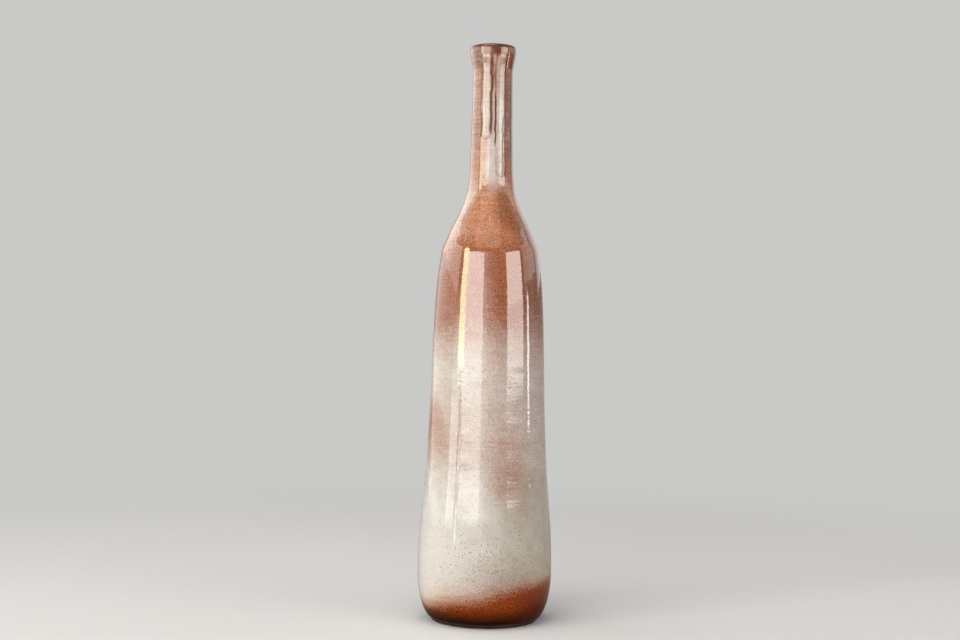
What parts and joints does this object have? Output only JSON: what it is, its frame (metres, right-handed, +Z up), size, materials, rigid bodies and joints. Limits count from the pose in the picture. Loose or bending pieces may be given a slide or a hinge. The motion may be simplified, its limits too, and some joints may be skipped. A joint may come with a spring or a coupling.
{
  "type": "bottle vase",
  "caption": "Tall slender stoneware bottle vase with a full base, sloping shoulder and narrow neck with a flared lip, glazed inside and out, that stands on its foot and holds cut stems.",
  "frame": {"origin": "centre of the foot, on the surface that the vase stands on", "axes": "+Z up the axis of the vase, towards the mouth; the vase is a body of revolution, so +X and +Y are free, and the picture looks along +Y with +X to its right"},
  "size_m": [0.0936, 0.0936, 0.4],
  "materials": {
    "stoneware": "bare, fired",
    "outer_glaze": "gloss, milky white sprayed over iron rust",
    "liner_glaze": "gloss"
  },
  "bodies": {
    "root": {"base_section": "stoneware", "body_section": "stoneware", "neck_section": "stoneware", "outer_glaze": "outer_glaze", "liner_glaze": "liner_glaze"}
  },
  "joints": []
}
